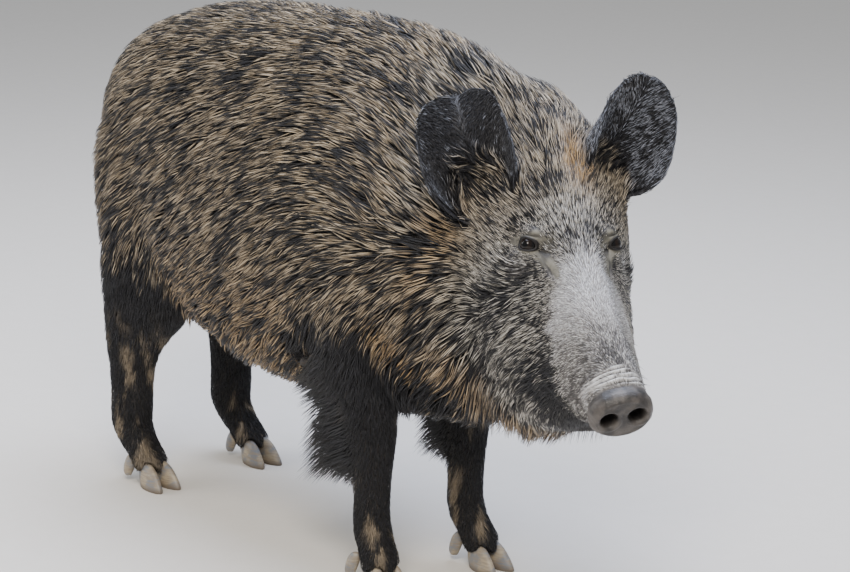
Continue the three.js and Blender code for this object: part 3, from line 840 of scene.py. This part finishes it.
# Locks lean together into clumps, which opens dark partings between them.
CLUMPS = LOCKS // CLUMP
clump_of = random.permutation(LOCKS)[:CLUMPS]
clumps = KDTree(CLUMPS)
for k, p in enumerate(root[clump_of].tolist()):
    clumps.insert(p, k)
clumps.balance()
mine = np.array([clumps.find(p)[1] for p in root.tolist()])
leader = clump_of[mine]
pull = (0.55 * step(0.003, 0.012, lock_depth))[:, None]
tip = tip + (tip[leader] - tip) * pull * 0.9
second = second + (second[leader] - second) * pull * 0.55
clump_tone = random.uniform(0, 1, CLUMPS)[mine]
grain = root @ np.array([[1, 0, 0.35], [0, 1, 0], [0, 0, 1.5]])  # spots drawn out along the flank
swell = wave(grain, 0.085, 51) * 0.5 + wave(grain, 0.03, 52) * 0.45
face_share = rooted_in("head", "lower_jaw")
tone = 0.45 * clump_tone + 0.55 * random.uniform(0, 1, LOCKS) + 0.2 * swell
tone = tone + 0.12 * face_share + 0.05 * rooted_in("neck") - 0.05
tone = np.clip(tone + 0.22 * rooted_in("ear_left"), 0, 1)

# ---- the fringe behind each forearm, and other long hair: longer and thicker locks ---------------
z = root[:, 2] / MM
forearm = step(140, 190, z) * step(430, 330, z) * step(0.0, -0.6, root_normal[:, 0])
long_hair = forearm * (rooted_in("foreleg_right") + rooted_in("foreleg_left") * 0.6)
reach = np.interp(z, FOREARM_AT, FOREARM_HAIR) * MM
push = np.array([-1, 0, -0.35])
droop = np.array([0, 0, -1.0])
stays = random.uniform(0, 1, LOCKS) < 0.42  # these cover the skin under the fringe
long_hair = np.where(stays, 0.16 * long_hair, long_hair)
sweep = (reach * long_hair * random.uniform(0.7, 1.2, LOCKS))[:, None]
lock_mud = lock_mud * (1 - np.clip(2 * forearm, 0, 1))
head_root = to_head(root) / MM
throat = step(-215, -285, head_root[:, 2]) * step(110, 200, head_root[:, 0])
throat = throat * step(410, 330, head_root[:, 0]) * face_share
hang = (24 * MM * throat * random.uniform(0.4, 1.2, LOCKS))[:, None]
second = second + droop * hang * 0.45
tip = tip + droop * hang
first = first + push * sweep * 0.3
second = second + push * sweep * 0.75 + droop * sweep * 0.04
tip = tip + push * sweep * 1.15 + droop * sweep * 0.22
lock_width = lock_width * (1 + 0.7 * long_hair)
# A few bristles stand out from the lips and the chin.
whisker = (random.uniform(0, 1, LOCKS) < 0.02) * step(300, 340, head_root[:, 0])
whisker = whisker * step(10, -10, head_root[:, 2] - pale_edge(head_root[:, 0]))
whisker = (whisker * face_share)[:, None]
second = second + root_normal * whisker * 4 * MM
tip = tip + (root_normal * 13 + droop * 5) * whisker * MM


def build_locks(name, pick, rings):
    """One mesh of the picked locks: closed three-sided slivers, pointed at root and tip."""
    count = len(pick)
    start_point = root[pick] - root_normal[pick] * 0.6 * MM
    if rings == 2:
        spine = np.stack([start_point, first[pick], second[pick], tip[pick]], 1)
        place, size = np.array([0, 0.36, 0.72, 1]), np.array([1, 0.72])
    else:
        spine = np.stack([start_point, (first[pick] + second[pick]) / 2, tip[pick]], 1)
        place, size = np.array([0, 0.5, 1]), np.array([1.0])
    run = unit(spine[:, 2:] - spine[:, :-2])
    side = unit(np.cross(np.repeat(root_normal[pick][:, None], rings, 1), run))
    over = np.cross(run, side)
    wide = lock_width[pick][:, None, None] * size[None, :, None]
    bones = spine[:, 1:-1]
    ring = np.stack([bones - side * wide / 2, bones + side * wide / 2, bones + over * wide * 0.5], 2)
    each = rings * 3 + 2
    co = np.concatenate([ring.reshape(count, rings * 3, 3), spine[:, :1], spine[:, -1:]], 1)
    walls = []
    for k in range(rings - 1):
        for i in range(3):
            j = (i + 1) % 3
            walls.append([k * 3 + i, k * 3 + j, k * 3 + 3 + j, k * 3 + 3 + i])
    last = (rings - 1) * 3
    caps = [[last + i, last + (i + 1) % 3, each - 1] for i in range(3)]
    caps += [[(i + 1) % 3, i, each - 2] for i in range(3)]
    start = np.arange(count)[:, None] * each
    loops = np.concatenate([np.array(walls, int).ravel(), np.array(caps).ravel()])
    loop_index = (start + loops[None]).ravel()
    totals = np.array([4] * len(walls) + [3] * len(caps))
    starts = np.concatenate([[0], np.cumsum(totals)[:-1]])
    starts = (np.arange(count)[:, None] * len(loops) + starts[None]).ravel()
    made = bpy.data.meshes.new(name)
    made.vertices.add(count * each)
    made.loops.add(len(loop_index))
    made.polygons.add(len(starts))
    made.vertices.foreach_set("co", co.astype(np.float32).ravel())
    made.loops.foreach_set("vertex_index", loop_index.astype(np.int32))
    made.polygons.foreach_set("loop_start", starts.astype(np.int32))
    made.update(calc_edges=True)
    along = np.concatenate([np.repeat(place[1:-1], 3), [0.0, 1.0]])
    across = np.concatenate([np.tile([0.0, 1.0, 0.5], rings), [0.5, 0.5]])
    lock = np.empty((count, each, 4), np.float32)
    lock[:, :, 0] = along
    lock[:, :, 1] = tone[pick][:, None]
    lock[:, :, 2] = random.uniform(0, 1, count)[:, None]
    lock[:, :, 3] = lock_mud[pick][:, None]
    put_attribute(made, "lock", lock)
    put_attribute(made, "mark", np.repeat(lock_mark[pick], each, 0))
    put_attribute(made, "slate_and_sheen", np.repeat(lock_slate_and_sheen[pick], each), "FLOAT")
    layer = made.uv_layers.new(name="OFBake")
    patch = np.stack([across - 0.5, along - 0.5], 1) * BAKE_PATCH
    places = root_uv[pick][:, None] + patch[None]
    layer.data.foreach_set("uv", places.reshape(-1, 2)[loop_index].astype(np.float32).ravel())
    made.validate()
    piece = bpy.data.objects.new(name, made)
    bpy.context.collection.objects.link(piece)
    made.polygons.foreach_set("use_smooth", np.ones(len(made.polygons), bool))
    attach(piece, "root")
    return piece


coat_pieces = []
long_lock = (lock_depth > LONG_COAT * MM) | (long_hair > 0.2)
order = np.argsort(-root[:, 0] + 10 * (root[:, 1] > 0))
for rings, chosen_locks, label in ((2, long_lock, "long"), (1, ~long_lock, "short")):
    line = order[chosen_locks[order]]
    pieces_needed = math.ceil(len(line) / (PIECE_TRIANGLES // (RING_TRIANGLES * rings)))
    for k, pick in enumerate(np.array_split(line, pieces_needed)):
        coat_pieces.append(build_locks(f"coat_{label}_{k + 1}", pick, rings))


# ---- materials -----------------------------------------------------------------------------------
# Cells of each pattern to a metre, which is 1000 over its real size in mm.
HAIR_STREAK = 900.0  # 1.1 mm, coarser than a hair so that it shows
SKIN_MOTTLE = 55.0  # 18 mm
PORE = 620.0  # 1.6 mm
IRIS_FIBRE = 2200.0  # 0.45 mm
HORN_RINGS = (60, 60, 420)  # 17 mm along the wall and 2.4 mm from ring to ring
HORN_BLOTCH = 48.0  # 21 mm
ROLLER_MOTTLE = 30.0  # 33 mm


def srgb(code):
    """An sRGB hex colour as linear RGBA."""
    parts = [int(code[k:k + 2], 16) / 255 for k in (1, 3, 5)]
    return [*((c / 12.92 if c <= 0.04045 else ((c + 0.055) / 1.055) ** 2.4) for c in parts), 1.0]


def add_node(tree, kind, settings=None, out=0, **links):
    """Adds a node and gives back one of its outputs. Settings go to its properties and links to
    its inputs, by name (_ for a space) or by number (i0, i1, ...)."""
    node = tree.nodes.new(kind)
    for key, value in (settings or {}).items():
        setattr(node, key, value)
    for key, value in links.items():
        place = int(key[1:]) if key[0] == "i" and key[1:].isdigit() else key.replace("_", " ")
        if isinstance(value, bpy.types.NodeSocket):
            tree.links.new(value, node.inputs[place])
        else:
            node.inputs[place].default_value = value
    return node.outputs[out] if node.outputs else None


BLEND = {"data_type": "RGBA"}  # inputs: 0 amount, 6 and 7 the colours; output 2
SMOOTH = {"interpolation_type": "SMOOTHSTEP"}  # inputs: 0 value, 1 and 2 the range
TIMES, MINUS, SCALE_ADD, LARGER = (
    {"operation": how} for how in ("MULTIPLY", "SUBTRACT", "MULTIPLY_ADD", "MAXIMUM"))


def new_material(name):
    """A material with an empty tree."""
    material = bpy.data.materials.new(name)
    material.use_nodes = True
    material.node_tree.nodes.clear()
    return material, material.node_tree


def mark_sockets(tree):
    """The dark, grey, ochre and pale markings, which skin and coat share."""
    alpha = add_node(tree, "ShaderNodeAttribute", {"attribute_name": "mark"}, "Alpha")
    red = add_node(tree, "ShaderNodeSeparateColor", Color=alpha.node.outputs["Color"])
    return red, red.node.outputs[1], red.node.outputs[2], alpha


def tip_colour(tree, shade):
    """The light part of the bristles at each marking: cream, ashen, ochre, silver, or on the ears
    bluish grey, which is partly painted sheen.
    """
    _, grey, ochre, pale = mark_sockets(tree)
    # Bluish grey on the ears: partly the hair's own tint, partly painted sheen.
    slate_and_sheen = add_node(tree, "ShaderNodeAttribute", {"attribute_name": "slate_and_sheen"}, "Fac")
    colour = None
    for amount, low, high in ((None, "#625644", "#BDB09A"), (grey, "#6C685F", "#CDC8BE"),
                              (pale, "#9C9A99", "#ECECED"), (ochre, "#6B563C", "#BC9B6A"),
                              (slate_and_sheen, "#4A4D54", "#9297A3")):
        tint = add_node(tree, "ShaderNodeMix", BLEND, 2, i0=shade, i6=srgb(low), i7=srgb(high))
        colour = tint if colour is None else add_node(
            tree, "ShaderNodeMix", BLEND, 2, i0=amount, i6=colour, i7=tint)
    return colour


# Boar bristle, coarse and split at the tips: black at the root with a short light band.
bristle, nodes = new_material("boar_bristle_agouti")
mud = add_node(nodes, "ShaderNodeAttribute", {"attribute_name": "lock"}, "Alpha")
along = add_node(nodes, "ShaderNodeSeparateColor", Color=mud.node.outputs["Color"])
tone_socket, chance = along.node.outputs[1], along.node.outputs[2]
dark, _, _, pale = mark_sockets(nodes)
light = tip_colour(nodes, chance)
shifted = add_node(nodes, "ShaderNodeMath", SCALE_ADD, i0=chance, i1=0.3, i2=along)
rise = add_node(nodes, "ShaderNodeMapRange", SMOOTH, i0=shifted, i1=0.5, i2=0.72)
fall = add_node(nodes, "ShaderNodeMapRange", SMOOTH, i0=shifted, i1=1.2, i2=0.98)
band = add_node(nodes, "ShaderNodeMath", TIMES, i0=rise, i1=fall)
even_hair = add_node(nodes, "ShaderNodeMath", TIMES, i0=pale, i1=0.6)
band = add_node(nodes, "ShaderNodeMath", LARGER, i0=band, i1=even_hair)
less = add_node(nodes, "ShaderNodeMath", TIMES, i0=dark, i1=0.62)
amount = add_node(nodes, "ShaderNodeMath", MINUS, i0=tone_socket, i1=less)
amount = add_node(nodes, "ShaderNodeMath", SCALE_ADD, i0=pale, i1=0.3, i2=amount)
amount = add_node(nodes, "ShaderNodeMapRange", SMOOTH, i0=amount, i1=0.33, i2=0.52)
amount = add_node(nodes, "ShaderNodeMath", TIMES, i0=amount, i1=band)
black = add_node(nodes, "ShaderNodeMix", BLEND, 2, i0=chance, i6=srgb("#121215"), i7=srgb("#26262A"))
softened = add_node(nodes, "ShaderNodeMath", TIMES, i0=pale, i1=0.75)
black = add_node(nodes, "ShaderNodeMix", BLEND, 2, i0=softened, i6=black, i7=srgb("#837D79"))
colour = add_node(nodes, "ShaderNodeMix", BLEND, 2, i0=amount, i6=black, i7=light)
colour = add_node(nodes, "ShaderNodeMix", BLEND, 2, i0=mud, i6=colour, i7=srgb("#988A75"))
shader = add_node(nodes, "ShaderNodeBsdfPrincipled", Base_Color=colour, Roughness=0.5, IOR=1.55,
                  Specular_IOR_Level=0.4)
add_node(nodes, "ShaderNodeOutputMaterial", Surface=shader)
for piece in coat_pieces:
    piece.data.materials.append(bristle)

# Hairy hide: short flat hair drawn as streaks along the nose, with bare skin at lids and disc, and
# painted shade darkening the nostrils, grooves and creases.
hide, nodes = new_material("boar_hide_and_bare_skin")
_, _, _, pale = mark_sockets(nodes)
splash = add_node(nodes, "ShaderNodeAttribute", {"attribute_name": "bare"}, "Alpha")
gristly = add_node(nodes, "ShaderNodeSeparateColor", Color=splash.node.outputs["Color"])
lids, crust = gristly.node.outputs[1], gristly.node.outputs[2]
crevice_shade_node = add_node(nodes, "ShaderNodeAttribute", {"attribute_name": "crevice_shade"}, "Fac")
place = add_node(nodes, "ShaderNodeAttribute", {"attribute_name": "face_place"}, "Vector")
drawn = add_node(nodes, "ShaderNodeMapping", Vector=place, Scale=(0.16, 1, 1))
streaks = add_node(nodes, "ShaderNodeTexNoise", Vector=drawn, Scale=HAIR_STREAK, Detail=3.0)
patches = add_node(nodes, "ShaderNodeTexNoise", Vector=place, Scale=SKIN_MOTTLE, Detail=4.0)
pores = add_node(nodes, "ShaderNodeTexVoronoi", Vector=place, Scale=PORE)
light = tip_colour(nodes, streaks)
shown = add_node(nodes, "ShaderNodeMapRange", SMOOTH, i0=streaks, i1=0.42, i2=0.62)
share = add_node(nodes, "ShaderNodeMath", SCALE_ADD, i0=pale, i1=0.7, i2=0.16)
shown = add_node(nodes, "ShaderNodeMath", TIMES, i0=shown, i1=share)
under = add_node(nodes, "ShaderNodeMix", BLEND, 2, i0=pale, i6=srgb("#17161A"), i7=srgb("#8B8683"))
colour = add_node(nodes, "ShaderNodeMix", BLEND, 2, i0=shown, i6=under, i7=light)
mottle = add_node(nodes, "ShaderNodeMapRange", SMOOTH, i0=patches, i1=0.36, i2=0.64)
for amount, low, high in ((lids, "#48463F", "#6E6B61"), (gristly, "#282625", "#4F4A46"),
                          (crust, "#9B9896", "#CBCBCC")):
    tint = add_node(nodes, "ShaderNodeMix", BLEND, 2, i0=mottle, i6=srgb(low), i7=srgb(high))
    colour = add_node(nodes, "ShaderNodeMix", BLEND, 2, i0=amount, i6=colour, i7=tint)
# Painted shade: near black over the nostrils, wrinkle grooves and creases; then the mud splash.
for amount, tint in ((crevice_shade_node, "#141110"), (splash, "#988A75")):
    colour = add_node(nodes, "ShaderNodeMix", BLEND, 2, i0=amount, i6=colour, i7=srgb(tint))
bump = add_node(nodes, "ShaderNodeBump", Strength=0.5, Distance=0.0008, Height=streaks)
bump = add_node(nodes, "ShaderNodeBump", Strength=0.4, Distance=0.0006, Height=pores, Normal=bump)
damp = add_node(nodes, "ShaderNodeMapRange", i0=gristly, i3=0.6, i4=0.4)
shader = add_node(nodes, "ShaderNodeBsdfPrincipled", Base_Color=colour, Normal=bump, Roughness=damp,
                  IOR=1.45)
add_node(nodes, "ShaderNodeOutputMaterial", Surface=shader)
skin.data.materials.append(hide)

# ---- eyes ------------------------------------------------------------------------------------------
# Nearly black brown iris under a wet cornea.
eye_material, nodes = new_material("wet_eye_dark_brown_iris")
off_axis = add_node(nodes, "ShaderNodeAttribute", {"attribute_name": "off_axis"}, "Fac")
place = add_node(nodes, "ShaderNodeTexCoord", out="Object")
fibres = add_node(nodes, "ShaderNodeTexNoise", Vector=place, Scale=IRIS_FIBRE, Detail=3.0)
colour = add_node(nodes, "ShaderNodeMix", BLEND, 2, i0=fibres, i6=srgb("#0B0705"), i7=srgb("#1E130B"))
for low, high, inner, outer in ((0.36, 0.42, "#030202", None), (0.74, 0.86, None, "#080605"),
                                (1.15, 1.3, None, "#241D1A")):
    amount = add_node(nodes, "ShaderNodeMapRange", SMOOTH, i0=off_axis, i1=low, i2=high)
    colour = add_node(nodes, "ShaderNodeMix", BLEND, 2, i0=amount,
                      i6=srgb(inner) if inner else colour, i7=srgb(outer) if outer else colour)
shader = add_node(nodes, "ShaderNodeBsdfPrincipled", Base_Color=colour, Roughness=0.06, IOR=1.376)
add_node(nodes, "ShaderNodeOutputMaterial", Surface=shader)

for side in ("left", "right"):
    gaze = Vector(GAZE[side].tolist())
    at = POLL + HEAD_TURN @ (Vector(eye_centre(side).tolist()) * MM)
    forward = HEAD_TURN @ gaze
    bpy.ops.object.select_all(action="DESELECT")
    bpy.ops.mesh.primitive_uv_sphere_add(segments=40, ring_count=28, radius=EYE_RADIUS, location=at,
                                         rotation=forward.to_track_quat("Z", "Y").to_euler())
    ball = bpy.context.active_object
    ball.name = ball.data.name = "eyeball_" + side
    bpy.ops.object.transform_apply(location=True, rotation=True, scale=True)
    co = vertices_of(ball.data)
    d = unit(co - np.array(at))
    off = np.arccos(np.clip(d @ np.array(forward), -1, 1))
    move_to(ball.data, co + d * (CORNEA * MM * step(0.75, 0.3, off))[:, None])
    put_attribute(ball.data, "off_axis", off, "FLOAT")
    bpy.ops.object.shade_smooth()
    ball.data.materials.append(eye_material)
    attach(ball, "root")
    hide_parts("eye_" + side)

# ---- hooves and dewclaws -------------------------------------------------------------------------
# Horn, worn and grown in rings, beige with a bluish grey heart.
horn, nodes = new_material("hoof_horn_worn")
where = add_node(nodes, "ShaderNodeTexCoord", out="Object")
drawn = add_node(nodes, "ShaderNodeMapping", Vector=where, Scale=HORN_RINGS)
layers = add_node(nodes, "ShaderNodeTexNoise", Vector=drawn, Scale=1.0, Detail=3.0)
blotch = add_node(nodes, "ShaderNodeTexNoise", Vector=where, Scale=HORN_BLOTCH, Detail=4.0)
height = add_node(nodes, "ShaderNodeSeparateXYZ", out=2, Vector=where)
colour = srgb("#A3967F")
for value, low, high, tint in ((blotch, 0.4, 0.6, "#70757C"), (layers, 0.35, 0.7, "#85796A"),
                               (height, 0.012, 0.0, "#62574A")):
    amount = add_node(nodes, "ShaderNodeMapRange", SMOOTH, i0=value, i1=low, i2=high)
    colour = add_node(nodes, "ShaderNodeMix", BLEND, 2, i0=amount, i6=colour, i7=srgb(tint))
bump = add_node(nodes, "ShaderNodeBump", Strength=0.4, Distance=0.0008, Height=layers)
shader = add_node(nodes, "ShaderNodeBsdfPrincipled", Base_Color=colour, Normal=bump, Roughness=0.48,
                  IOR=1.54)
add_node(nodes, "ShaderNodeOutputMaterial", Surface=shader)

for foot in FEET:
    for kind in ("hoof", "dewclaw"):
        node = f"{kind}_{foot}"
        piece = copy_of(node)
        piece.name = piece.data.name = node + "_horn"
        select_only(piece)
        bpy.ops.object.mode_set(mode="EDIT")
        bpy.ops.mesh.select_all(action="SELECT")
        bpy.ops.mesh.dissolve_limited(angle_limit=math.radians(1))
        bpy.ops.object.mode_set(mode="OBJECT")
        low = vertices_of(piece.data)[:, 2].min()
        group = piece.data.attributes.new("crease_edge", "FLOAT", "EDGE")
        ends = edges_of(piece.data)
        co = vertices_of(piece.data)
        sole = (co[ends[:, 0], 2] < low + 1e-4) & (co[ends[:, 1], 2] < low + 1e-4)
        group.data.foreach_set("value", (sole * 0.9).astype(np.float32))
        apply_modifier(piece, "SUBSURF", levels=2, render_levels=2)
        select_only(piece)
        bpy.ops.object.shade_smooth()
        piece.data.materials.append(horn)
        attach(piece, "root")
        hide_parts(node)

# ---- studio ------------------------------------------------------------------------------------
# Matt paint with a faint roller mottle.
floor_material, nodes = new_material("studio_floor_matt_paint")
where = add_node(nodes, "ShaderNodeTexCoord", out="Object")
mottle = add_node(nodes, "ShaderNodeTexNoise", Vector=where, Scale=ROLLER_MOTTLE, Detail=2.0)
colour = add_node(nodes, "ShaderNodeMix", BLEND, 2, i0=mottle, i6=srgb("#DAD6CF"), i7=srgb("#DFDBD5"))
shader = add_node(nodes, "ShaderNodeBsdfPrincipled", Base_Color=colour, Roughness=0.85)
add_node(nodes, "ShaderNodeOutputMaterial", Surface=shader)
bpy.ops.object.select_all(action="DESELECT")
bpy.ops.mesh.primitive_plane_add(size=40, location=(0, 0, 0))
floor = bpy.context.active_object
floor.name = "studio_floor"
floor.data.materials.append(floor_material)

world = bpy.data.worlds.new("studio_world")
bpy.context.scene.world = world
world.use_nodes = True
world.node_tree.nodes["Background"].inputs[0].default_value = srgb("#DCE0E6")
world.node_tree.nodes["Background"].inputs[1].default_value = 0.7


def soft_light(name, at, aim, size, power, tint):
    """A round area light of size metres and power watts at a place, turned to its aim."""
    data = bpy.data.lights.new(name, "AREA")
    data.shape = "DISK"
    data.size = size
    data.energy = power
    data.color = srgb(tint)[:3]
    lamp = bpy.data.objects.new(name, data)
    bpy.context.collection.objects.link(lamp)
    lamp.location = at
    lamp.rotation_euler = (Vector(aim) - Vector(at)).to_track_quat("-Z", "Y").to_euler()


soft_light("key_light", (2.2, -2.2, 3.2), (0, 0, 0.45), 2.2, 185, "#FFF6EA")
soft_light("top_light", (-0.4, 0.5, 3.4), (0, 0, 0.5), 2.6, 185, "#DFE8FF")
soft_light("side_light", (-2.6, -2.0, 1.8), (0, 0, 0.4), 2.0, 40, "#FFFDF8")

# ---- camera --------------------------------------------------------------------------------------
FRAME_WIDTH, FOCAL_LENGTH = 850, 2642  # pixels
SENSOR_WIDTH = 36
AIM, DISTANCE = Vector((0.075, 0, 0.424)), 3.8
azimuth, elevation, turn = math.radians(50), math.radians(13.8), math.radians(1.5)
back = Vector((math.sin(azimuth) * math.cos(elevation), -math.cos(azimuth) * math.cos(elevation),
               math.sin(elevation)))
sideways = Vector((math.cos(azimuth), math.sin(azimuth), 0))
upward = back.cross(sideways)
sideways, upward = (sideways * math.cos(turn) + upward * math.sin(turn),
                    upward * math.cos(turn) - sideways * math.sin(turn))
camera_data = bpy.data.cameras.new("camera")
camera_data.sensor_width = SENSOR_WIDTH
camera_data.lens = FOCAL_LENGTH * SENSOR_WIDTH / FRAME_WIDTH
camera = bpy.data.objects.new("camera", camera_data)
bpy.context.collection.objects.link(camera)
camera.matrix_world = Matrix.Translation(AIM + back * DISTANCE) @ Matrix(
    (sideways, upward, back)).transposed().to_4x4()
bpy.context.scene.camera = camera
